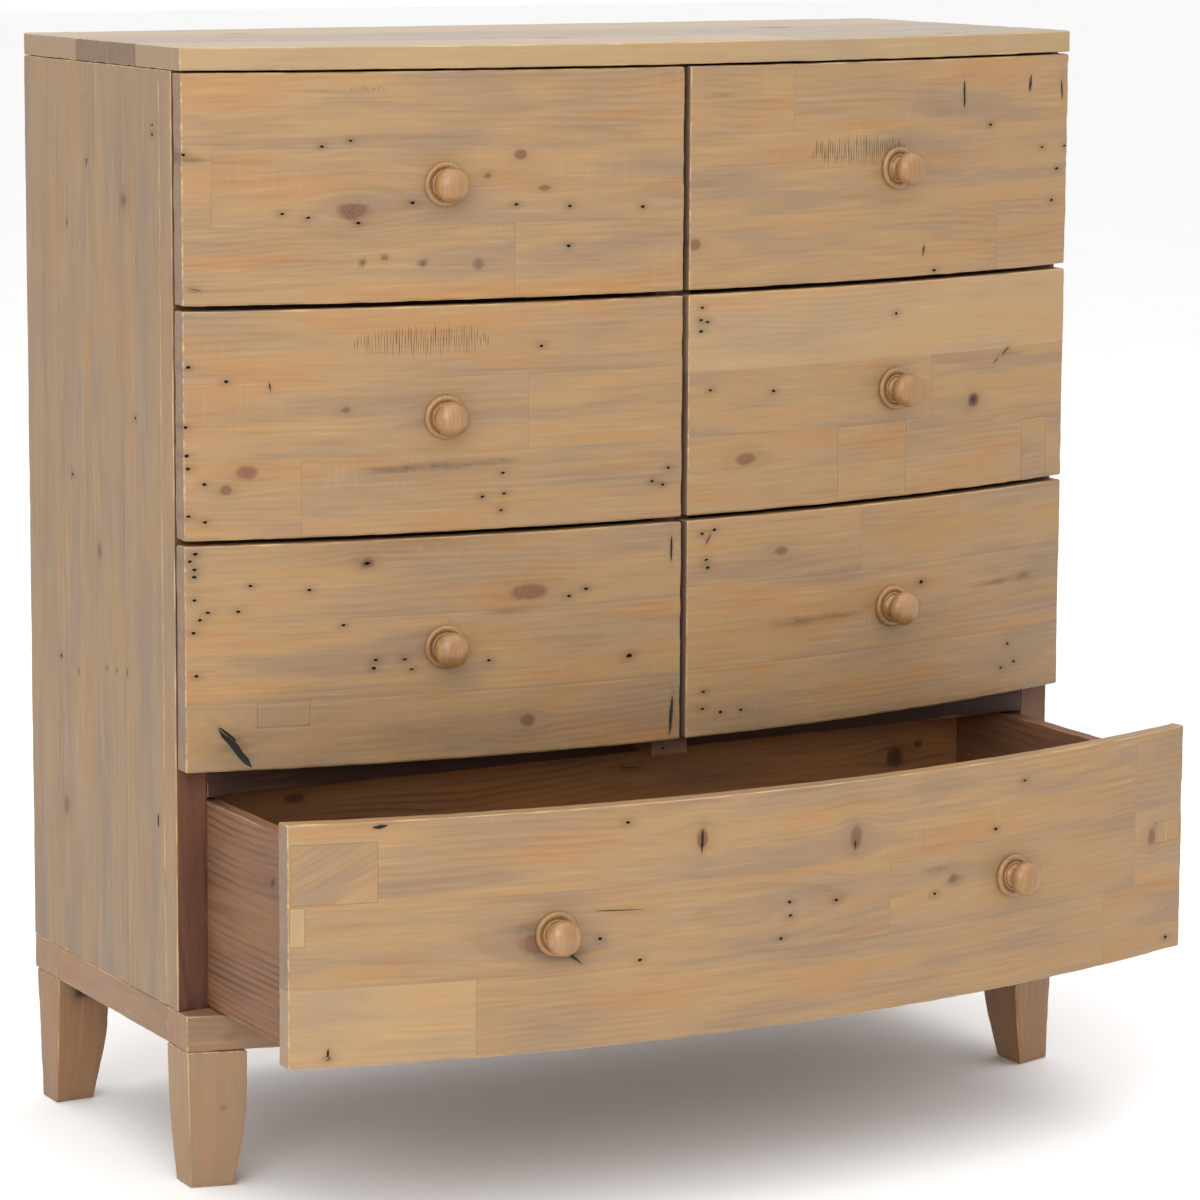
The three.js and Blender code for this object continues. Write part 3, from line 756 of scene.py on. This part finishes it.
# ---- Drawer fronts ----------------------------------------------------------------------------------
FRONT_MARKS = {
    "drawer_1_left": Marks(
        nails=[(128, 147), (155, 152, 1.7), (91, 85), (115, 81), (214, 93), (317, 89), (372, 86), (450, 83),
               (371, 48), (2, 141), (162, 75)],
        gouges=[(11, 16, 13, -12, 1.0, 0.7)],
        knots=[(158, 90, 15, 13, 4), (321, 136, 7, 5), (288, 117, 4, 3), (346, 104, 7, 3), (187, 42, 4, 3)],
        discs=[(166, 38, 4.5), (224, 36, 5), (279, 34, 6.5)],
        stains=[(10, 136, 14, 3, 0.5), (160, 86, 12, 7, 0.25)],
        saws=[(153, 187, 196, 204)],
        strips=[72, 146],
        joints=[(27, 72, 146), (316, 0, 72)],
    ),
    "drawer_1_right": Marks(
        nails=[(378, 148), (456, 122, 1.7), (491, 122), (479, 99), (472, 67), (302, 5, 1.9)],
        gouges=[(340, 180, 28, 92, 2.4, 1.6), (436, 188, 18, 84, 3.4, 1.6), (485, 180, 21, 95, 2.6, 1.6),
                (287, 26, 12, 80, 2.2, 1.2)],
        knots=[(6, 44, 7, 6), (250, 122, 6, 4)],
        stains=[(36, 188, 14, 1.5, 0.3)],
        saws=[(141, 258, 112, 146)],
        strips=[70, 150],
        joints=[(390, 0, 70), (120, 150, 216)],
    ),
    "drawer_2_left": Marks(
        nails=[(343, 174), (39, 150), (5, 164), (2, 108), (3, 81), (4, 69), (4, 24), (19, 54),
               (19, 18), (304, 54), (305, 34), (283, 32), (302, 18), (480, 49), (462, 37), (474, 33)],
        gouges=[(79, 144, 9, 100, 1.4, 0.8)],
        knots=[(57, 64, 11, 7), (38, 48, 6, 5), (150, 120, 5, 3)],
        stains=[(190, 62, 26, 2.5, 0.5), (245, 63, 45, 3.5, 0.55), (300, 65, 24, 2.0, 0.45)],
        saws=[(156, 288, 165, 200)],
        strips=[76, 148],
        joints=[(108, 0, 76), (330, 76, 148)],
    ),
    "drawer_2_right": Marks(
        nails=[(15, 203), (14, 191), (21, 189), (14, 180), (25, 122), (99, 117), (252, 185)],
        gouges=[(406, 137, 14, 40, 1.6, 0.8), (392, 128, 9, 30, 1.2, 0.6)],
        knots=[(360, 90, 8, 7), (66, 52, 14, 6)],
        stains=[(360, 90, 5, 5, 0.8), (410, 134, 18, 3, 0.3)],
        plugs=[(179, 267, 1, 76), (432, 470, 1, 64)],
        strips=[77, 140],
        joints=[(300, 77, 140)],
    ),
    "drawer_3_left": Marks(
        nails=[(10, 209), (5, 202), (9, 194), (9, 187), (9, 165), (21, 153), (14, 146), (8, 134), (10, 93),
               (60, 177), (115, 171), (170, 194, 2.3), (49, 153), (147, 136, 1.7), (178, 101), (176, 93),
               (391, 157), (373, 151), (206, 100), (213, 90), (290, 94), (438, 88, 2.6)],
        gouges=[(45, 23, 50, -52, 6.5, 3.0), (38, 36, 22, -40, 3.5, 2.2), (484, 190, 26, 90, 2.2, 1.4),
                (485, 25, 40, 86, 3.0, 1.8)],
        knots=[(330, 158, 20, 8), (330, 33, 8, 7), (170, 194, 7, 5)],
        stains=[(45, 24, 22, 16, 0.35), (310, 140, 24, 3, 0.35), (240, 215, 110, 14, 0.25),
                (250, 26, 400, 30, 0.12)],
        plugs=[(66, 115, 41, 65)],
        strips=[65, 142],
        joints=[(250, 65, 142)],
    ),
    "drawer_3_right": Marks(
        nails=[(17, 202), (31, 205), (22, 176), (24, 168), (291, 130, 2.4), (20, 45), (19, 28), (40, 23),
               (64, 23), (417, 52), (427, 32), (407, 28)],
        gouges=[(24, 196, 12, 60, 1.6, 0.8)],
        knots=[(110, 178, 9, 4)],
        stains=[(128, 105, 24, 4, 0.5), (180, 107, 30, 3, 0.5), (398, 119, 26, 3, 0.45),
                (440, 121, 16, 5, 0.45), (250, 4, 200, 8, 0.3)],
        strips=[68, 150],
        joints=[(210, 150, 216)],
    ),
    "drawer_wide": Marks(
        nails=[(316, 210, 2.0), (486, 118), (487, 105), (477, 84), (289, 103), (329, 79), (538, 114),
               (654, 106), (730, 160), (767, 203), (975, 13), (35, 10, 2.0)],
        gouges=[(82, 222, 14, 8, 3.0, 2.0), (392, 186, 24, 88, 2.8, 1.6), (559, 165, 11, 86, 2.2, 1.2),
                (308, 128, 50, -3, 1.0, 0.8), (35, 13, 12, 86, 2.4, 1.4), (262, 88, 26, -38, 2.0, 1.0)],
        knots=[(230, 104, 20, 11), (560, 172, 7, 12), (392, 188, 6, 10), (676, 118, 6, 5), (950, 120, 5, 9)],
        stains=[(252, 92, 26, 9, 0.45), (216, 118, 18, 5, 0.35), (654, 129, 14, 4, 0.35),
                (679, 116, 10, 4, 0.3)],
        plugs=[(3, 80, 152, 208, 28), (2, 15, 114, 150, 80), (953, 993, 112, 134, 90)],
        strips=[74, 150],
        joints=[(924, 74, 226), (170, 0, 74), (880, 0, 74), (600, 74, 150)],
    ),
}


def opening(drawer):
    """How far a drawer stands open."""
    return WIDE_OPENING if drawer == "drawer_wide" else 0.0


def front_point(drawer, x, z):
    """The point and outward normal at (x, z) of a drawer's bowed face."""
    normal = Vector((x / BOW_RADIUS, -math.sqrt(1 - (x / BOW_RADIUS) ** 2), 0))
    return Vector((x, float(bow_y(x, FRONT_OVERHANG)) - opening(drawer), z)), normal


def drawer_front(drawer, seed):
    node = f"{drawer}_front"
    low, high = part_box(node)
    marks = FRONT_MARKS[drawer]

    def bend(points):
        """Bends a board whose y is its depth behind the bowed face."""
        bent = points.copy()
        front = bow_y(np.clip(points[:, 0], -HALF, HALF), FRONT_OVERHANG)
        bent[:, 1] = front - opening(drawer) + points[:, 1]
        return bent

    pitch = 4.4 if drawer == "drawer_wide" else 3.2
    board = Board(
        f"{drawer}_face", (low.x, 0, low.z), (high.x, FRONT_THICKNESS, high.z), "x", seed,
        pitch=pitch, ends=2.2, radii=(2.4, 4.5, 2.6, 8.5), marks=marks, warp=0.22, wear=0.9, bend=bend,
    )
    piece = board.build(material("front", "x"), drawer)
    Cutters(lambda u, v: front_point(drawer, low.x + u, low.z + v), seed).add(marks).cut(piece)
    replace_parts(piece, node)


# ---- Knobs ------------------------------------------------------------------------------------------
def arc(middle, wide, high, start, stop, count):
    """Points on an oval arc of a turned profile, as (radius, height) in millimetres; angles in degrees."""
    angles = [math.radians(start + (stop - start) * i / (count - 1)) for i in range(count)]
    return [(middle[0] + wide * math.cos(a), middle[1] + high * math.sin(a)) for a in angles]


def knob_profile():
    """A ringed rose, a waisted neck and a flattened ball, from the back face outwards."""
    points = [(0, 0), (19.8, 0), (20.6, 0.5)]
    points += arc((18.0, 2.6), 3.0, 2.8, -15, 165, 12)
    points += [(14.7, 3.0), (14.3, 3.1)]
    points += arc((12.9, 3.9), 1.3, 1.6, -10, 150, 7)
    points += arc((10.9, 8.6), 1.7, 2.4, 215, 150, 6)
    points += [(7.998, 11.109)]
    points += arc((0.0, 20.6), 17.0, 10.6, -52, 0, 12)
    points += arc((0.0, 20.6), 17.0, 11.4, 6, 90, 18)
    points[-1] = (0, points[-1][1])
    return points


def turned(profile, place, axis, sides=72):
    """Points and faces of a turned piece with its back at `place` and its axis along `axis`."""
    turn = axis.to_track_quat("Z", "Y").to_matrix()
    points, faces = [], []
    inner = [p for p in profile if p[0] > 0]
    points.append(place)
    for radius, height in inner:
        for i in range(sides):
            angle = 2 * math.pi * i / sides
            local = Vector((radius * math.cos(angle), radius * math.sin(angle), height)) * MM
            points.append(place + turn @ local)
    points.append(place + turn @ Vector((0, 0, profile[-1][1])) * MM)
    for i in range(sides):
        k = (i + 1) % sides
        faces.append((0, 1 + k, 1 + i))
        for ring in range(len(inner) - 1):
            a, b = 1 + ring * sides, 1 + (ring + 1) * sides
            faces.append((a + i, a + k, b + k, b + i))
        last = 1 + (len(inner) - 1) * sides
        faces.append((last + i, last + k, len(points) - 1))
    return points, faces


def knob(node, drawer, look):
    low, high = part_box(node)
    x = KNOB_SPREAD if low.x > 0 else -KNOB_SPREAD
    place, axis = front_point(drawer, x, (low.z + high.z) / 2)
    points, faces = turned(knob_profile(), place + axis * KNOB_GAP, axis)
    mesh = new_mesh(f"{node}_turned", points, faces)
    mesh.set_sharp_from_angle(angle=math.radians(50))
    piece = link(f"{node}_turned", mesh, look, drawer)
    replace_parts(piece, node)


# ---- Carcass ----------------------------------------------------------------------------------------
TOP_MARKS = Marks(
    nails=[(30, 40), (220, 60), (880, 45), (770, 70), (640, 210), (140, 250)],
    knots=[(420, 120, 12, 8), (760, 250, 14, 10), (180, 330, 10, 7), (840, 30, 9, 5)],
    strips=[118, 205, 292],
    joints=[(360, 118, 205), (640, 0, 118), (520, 205, 292)],
)


def bow_stretch(front_y, back_y, skin):
    """Draws the front edge of a straight board out to the bow; its back edge stays straight.

    The wood keeps its depth in the `skin` behind the front edge and is stretched or shortened behind it.
    """
    def bend(points):
        bent = points.copy()
        front = bow_y(np.clip(points[:, 0], -HALF, HALF), TOP_OVERHANG)
        depth = points[:, 1] - front_y
        rest = (depth - skin) / (back_y - front_y - skin)
        bent[:, 1] = front + np.where(depth < skin, depth, skin + rest * (back_y - front - skin))
        return bent
    return bend


TOP_SKIN = 0.04  # share of the top's depth that keeps its shape
BOWED_STRIP = 100  # millimetres at the front of the top where nails only leave a stain


def top_panel():
    low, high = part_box("top_panel")
    bend = bow_stretch(low.y, high.y, TOP_SKIN * (high.y - low.y))
    board = Board("top_board", low, high, "xy", 11, pitch=5, ends=1.8, radii=(2.6, 2, 2, 2), marks=TOP_MARKS,
                  face="above", warp=0.2, wear=0.6, bend=bend)
    piece = board.build(material("top", "x"), "carcass")
    surface = flat_face((low.x, low.y, high.z), (1, 0, 0), (0, 1, 0), (0, 0, 1))
    behind = Marks(nails=[nail for nail in TOP_MARKS.nails if nail[1] > BOWED_STRIP])
    Cutters(surface, 11).add(behind).cut(piece)
    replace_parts(piece, "top_panel")


SIDE_MARKS = Marks(
    nails=[(15, 841, 1.6), (15, 832), (173, 799, 1.4), (215, 487, 1.6), (250, 300), (60, 560)],
    gouges=[(223, 735, 10, 92, 1.8, 1.0), (173, 796, 5, 80, 1.6, 0.8), (15, 178, 14, 90, 3.0, 1.6),
            (85, 310, 9, 88, 1.5, 0.9), (110, 308, 7, 91, 1.4, 0.8), (135, 306, 6, 90, 1.2, 0.8),
            (205, 292, 8, 92, 1.5, 0.9)],
    knots=[(84, 766, 6, 8), (150, 420, 6, 9), (240, 150, 7, 10)],
    stains=[(82, 767, 6, 6, 0.25), (216, 487, 3, 8, 0.3)],
    joints=[(88, 0, 894), (166, 0, 894), (247, 0, 894)],
)


def side_panels():
    for label, seed in (("left", 21), ("right", 22)):
        node = f"side_panel_{label}"
        low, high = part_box(node)
        marks = SIDE_MARKS if label == "left" else Marks()
        board = Board(f"side_board_{label}", low, high, "z", seed, pitch=6, ends=0.6, radii=(0.8, 1, 0.8, 1),
                      marks=marks, face="side", warp=0.25, wear=0.4)
        piece = board.build(material("side", "z"), "carcass")
        if label == "left":
            surface = flat_face(low, (0, 1, 0), (0, 0, 1), (-1, 0, 0))
            Cutters(surface, seed).add(marks).cut(piece)
        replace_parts(piece, node)


POST_SKIN = 1.2 * MM  # what lies this near to a post's outside has the wood of the sides


def posts():
    for label, seed in (("left", 31), ("right", 32)):
        node = f"front_post_{label}"
        low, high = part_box(node)
        board = Board(f"post_{label}", low, high, "zx", seed, pitch=6, ends=1.0, radii=(1, 0.8, 1, 0.8))
        piece = board.build(material("dark", "z"), "carcass")
        piece.data.materials.append(material("side", "z"))
        outside = low.x if label == "left" else high.x
        for polygon in piece.data.polygons:
            if abs(polygon.center.x - outside) < POST_SKIN:
                polygon.material_index = 1
        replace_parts(piece, node)


RAIL_GAP = 0.3 * MM
RAIL_HEIGHT = 29 * MM
RAIL_BACK = POST_Y + 27 * MM
DUST_PANEL = 12 * MM


def frame_rails():
    """Each divider is a front rail with a dust panel glued behind it."""
    rail_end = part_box("front_post_right")[0].x - RAIL_GAP
    for row in (1, 2, 3):
        node = f"divider_{row}"
        low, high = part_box(node)
        rail = Board(f"rail_{row}", (-rail_end, POST_Y, high.z - RAIL_HEIGHT), (rail_end, RAIL_BACK, high.z),
                     "x", 40 + row, pitch=12, radii=(1, 0.5, 1.4, 1), ends=0.5, wear=0.6)
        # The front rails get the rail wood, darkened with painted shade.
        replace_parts(rail.build(material("rail", "x"), "carcass"), node)
        panel = Board(f"dust_panel_{row}", (low.x, RAIL_BACK + 0.2 * MM, high.z - DUST_PANEL),
                      (high.x, high.y, high.z), "xy", 50 + row, pitch=30, ends=0.6, radii=(0.6,) * 4,
                      face="above")
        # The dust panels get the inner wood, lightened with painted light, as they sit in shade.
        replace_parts(panel.build(material("inner", "x"), "carcass"), node)


def centre_parts():
    low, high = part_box("centre_stile")
    marks = Marks(nails=[(12, 8, 1.6)])
    board = Board("middle_stile", low, high, "zx", 61, pitch=5, ends=1.2, radii=(1.2, 1, 2.5, 1.5),
                  marks=marks, wear=1.1)
    piece = board.build(material("dark", "z"), "carcass")
    surface = flat_face(low, (1, 0, 0), (0, 0, 1), (0, -1, 0))
    Cutters(surface, 61).add(marks).cut(piece)
    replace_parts(piece, "centre_stile")


BASE_RAIL = 60 * MM
BASE_FRONT = 26 * MM  # back of the front rail, behind the posts' front faces
BASE_SEAM = 0.15 * MM
BASE_SKIN = 6 * MM  # depth behind the bowed face that keeps its shape
BASE_MARKS = Marks(nails=[(40, 14, 1.6), (190, 20), (700, 12)], knots=[(300, 18, 8, 6)])


def base_frame():
    """Front and back rails run through to the sides, and the side rails stand between them."""
    low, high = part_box("base_frame")
    front_back = POST_Y + BASE_FRONT
    back_front = high.y - BASE_RAIL
    look_x, look_y = material("base", "x"), material("base", "y")
    front = Board("base_rail_front", (low.x, low.y, low.z), (high.x, front_back, high.z), "x", 71, pitch=6,
                  ends=1.2, radii=(2.0, 0.5, 2.2, 1), marks=BASE_MARKS, wear=0.7,
                  bend=bow_stretch(low.y, front_back, BASE_SKIN))
    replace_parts(front.build(look_x, "carcass"), "base_frame")
    back = Board("base_rail_back", (low.x, back_front, low.z), (high.x, high.y, high.z), "x", 72, pitch=9,
                 ends=1.2, radii=(0.6, 1, 1.4, 1.4), wear=0.6)
    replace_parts(back.build(look_x, "carcass"), "base_frame")
    for label, outer, inner, seed in (
        ("left", low.x, low.x + BASE_RAIL, 73), ("right", high.x - BASE_RAIL, high.x, 74)
    ):
        side = Board(f"base_rail_{label}", (outer, front_back + BASE_SEAM, low.z),
                     (inner, back_front - BASE_SEAM, high.z), "y", seed, pitch=7, ends=1.2, radii=(0.5,) * 4,
                     face="side", wear=0.4)
        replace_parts(side.build(look_y, "carcass"), "base_frame")


LEG_MARKS = {
    "leg_front_left": Marks(stains=[(33, 78, 3, 2.5, 0.5)]),
    "leg_front_right": Marks(knots=[(32, 118, 9, 7)], stains=[(32, 118, 6, 5, 0.4)]),
    # The back left leg's knot sits just under the side rail; the heavy dark patch round it is partly painted
    # shade from the rail.
    "leg_back_left": Marks(knots=[(26, 118, 9, 8)], stains=[(26, 118, 7, 7, 0.9)]),
}


def leg(node, seed):
    """A foot that draws in towards the floor on every face, with its lower edges worn round."""
    low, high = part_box(node)
    sign = 1 if low.x > 0 else -1
    front = "front" in node
    top = high.z
    outer_taper, inner_taper, start = 3.5 * MM, 12 * MM, 78 * MM
    width, hollow = 56 * MM, 18 * MM
    front_leg_back, back_leg_front, back_leg_back = (POST_Y + y * MM for y in (26.4, 295, 352))

    def bend(points):
        share = (points[:, 0] - low.x) / (high.x - low.x)
        if sign > 0:
            share = 1 - share
        z = points[:, 2]
        drop = 1 - z / top
        pull = np.clip((start - z) / start, 0, 1) ** 1.3
        x = sign * (HALF - outer_taper * drop - share * (width - outer_taper * drop - inner_taper * pull))
        depth = (points[:, 1] - low.y) / (high.y - low.y)
        if front:
            y0 = bow_y(np.clip(x, -HALF, HALF), TOP_OVERHANG) + outer_taper * drop
            y1 = front_leg_back - inner_taper * pull
        else:
            y0 = back_leg_front + hollow * np.clip(drop, 0, 1) ** 1.3
            y1 = back_leg_back - outer_taper * drop
        return np.stack((x, y0 + (y1 - y0) * depth, z), -1)

    board = Board(f"{node}_foot", low, high, "zx", seed, pitch=3.5, ends=2.0, radii=(0.5, 0.5, 4.5, 4.5),
                  marks=LEG_MARKS.get(node), wear=0.9, bend=bend)
    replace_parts(board.build(material("base", "z"), "carcass"), node)


# ---- Drawer boxes and inner boards ------------------------------------------------------------------
BOX_GAP = 0.1 * MM
SLANT_DEPTH = 20 * MM


def box_slant(front):
    """Cuts a box side's front end to the bow of the front that it meets."""
    def bend(points):
        bent = points.copy()
        edge = bow_y(np.clip(points[:, 0], -HALF, HALF), BOX_GAP) - WIDE_OPENING
        near = np.clip(1 - (points[:, 1] - front) / SLANT_DEPTH, 0, 1)
        bent[:, 1] += (edge - front) * near
        return bent
    return bend


def wide_box():
    """The open drawer's box: two-stave sides and a knotty back."""
    for label, seed in (("left", 81), ("right", 82)):
        node = f"drawer_wide_side_{label}"
        low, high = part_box(node)
        marks = Marks(strips=[96], knots=[(90, 150, 4, 3)],
                      stains=[(90, 150, 5, 2, 0.3), (200, 168, 30, 2, 0.2)])
        board = Board(f"{node}_board", low, high, "y", seed, pitch=8, ends=1.2, radii=(1.6, 1.6, 1, 1),
                      marks=marks, face="side", bend=box_slant(low.y))
        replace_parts(board.build(material("box", "y"), "drawer_wide"), node)
    node = "drawer_wide_back"
    low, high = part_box(node)
    marks = Marks(knots=[(826, 130, 12, 11), (855, 141, 6, 5), (122, 156, 12, 5)],
                  gouges=[(500, 150, 30, -4, 1.2, 0.8)],
                  stains=[(826, 130, 9, 8, 0.3), (500, 150, 24, 4, 0.3)])
    board = Board(f"{node}_board", low, high, "x", 83, pitch=5, ends=0.6, radii=(1.4, 1.4, 0.6, 0.6),
                  marks=marks)
    # The back board gets the inner wood, lightened with painted light, as it sits in shade.
    piece = board.build(material("inner", "x"), "drawer_wide")
    surface = flat_face(low, (1, 0, 0), (0, 0, 1), (0, -1, 0))
    Cutters(surface, 83).add(marks).cut(piece)
    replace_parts(piece, node)


def dress_node(node, look, width=0.7):
    """Gives a CAD node that stays its material, and its edges a small rounding."""
    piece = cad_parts[node]
    piece.data.materials.clear()
    piece.data.materials.append(look)
    change = piece.modifiers.new("eased", "BEVEL")
    change.width = width * MM
    change.segments = 2
    change.limit_method = "ANGLE"
    change.angle_limit = math.radians(40)
    change.harden_normals = False


def inner_boards():
    dress_node("back_panel", material("box", "zxy"))
    dress_node("centre_partition", material("box", "yzx"), 0.3)
    dress_node("bottom_board", material("box", "xyz"))
    dress_node("drawer_wide_bottom", material("box", "xyz"), 0.4)
    for row, label in itertools.product((1, 2, 3), ("left", "right")):
        drawer = f"drawer_{row}_{label}"
        for side in ("left", "right"):
            dress_node(f"{drawer}_side_{side}", material("box", "yzx"))
        dress_node(f"{drawer}_back", material("box", "xzy"))
        dress_node(f"{drawer}_bottom", material("box", "xyz"), 0.4)


# ---- Stage ------------------------------------------------------------------------------------------
FLOOR_REACH = 30


def pale_floor():
    corners = [(x * FLOOR_REACH, y * FLOOR_REACH, 0) for x, y in ((-1, -1), (1, -1), (1, 1), (-1, 1))]
    mesh = new_mesh("floor", corners, [(0, 1, 2, 3)], smooth=False)
    floor = new_object("floor", mesh)
    s = Shader("floor_white")
    grain = s.noise(s.node("ShaderNodeTexCoord").outputs["Object"], (3, 3, 3))
    s.links.new(s.mix(grain, tone(0xF6F6F5), tone(0xFAFAFA)), s.surface.inputs["Base Color"])
    s.surface.inputs["Roughness"].default_value = 0.9
    mesh.materials.append(s.material)


def soft_light(name, place, target, size, watts):
    lamp = bpy.data.lights.new(name, "AREA")
    lamp.shape = "RECTANGLE"
    lamp.size, lamp.size_y = size
    lamp.energy = watts
    holder = new_object(name, lamp)
    holder.location = place
    holder.rotation_euler = (Vector(target) - Vector(place)).to_track_quat("-Z", "Y").to_euler()


def studio():
    world = bpy.data.worlds.new("studio")
    world.use_nodes = True
    world.node_tree.nodes["Background"].inputs["Color"].default_value = (1.0, 1.0, 1.0, 1.0)
    world.node_tree.nodes["Background"].inputs["Strength"].default_value = 1.0
    bpy.context.scene.world = world
    soft_light("key", (-2.9, -3.1, 2.3), (-0.2, 0, 0.5), (3.2, 2.6), 88)
    soft_light("overhead", (0.0, -0.8, 4.2), (0, 0, 0), (5.5, 5.5), 110)
    bpy.context.scene.view_settings.view_transform = "Standard"


def camera():
    lens = bpy.data.cameras.new("camera")
    lens.sensor_width = 36
    lens.lens = CAMERA_LENS
    lens.shift_x, lens.shift_y = CAMERA_SHIFT
    lens.clip_end = 100
    holder = new_object("camera", lens)
    turn = Matrix.Identity(4)
    for angle, axis in ((-CAMERA_YAW, "Z"), (90 - CAMERA_PITCH, "X"), (CAMERA_ROLL, "Z")):
        turn = turn @ Matrix.Rotation(math.radians(angle), 4, axis)
    holder.matrix_world = Matrix.Translation(CAMERA_PLACE) @ turn
    bpy.context.scene.camera = holder


# ---- The whole chest --------------------------------------------------------------------------------
camera()
studio()
pale_floor()
top_panel()
side_panels()
posts()
frame_rails()
centre_parts()
base_frame()
for number, name in enumerate(("leg_front_left", "leg_front_right", "leg_back_left", "leg_back_right")):
    leg(name, 90 + number)
wide_box()
inner_boards()
KNOB_LOOK = knob_wood()
for number, name in enumerate(FRONT_MARKS):
    drawer_front(name, number + 1)
    for suffix in ("_left", "_right") if name == "drawer_wide" else ("",):
        knob(f"{name}_knob{suffix}", name, KNOB_LOOK)
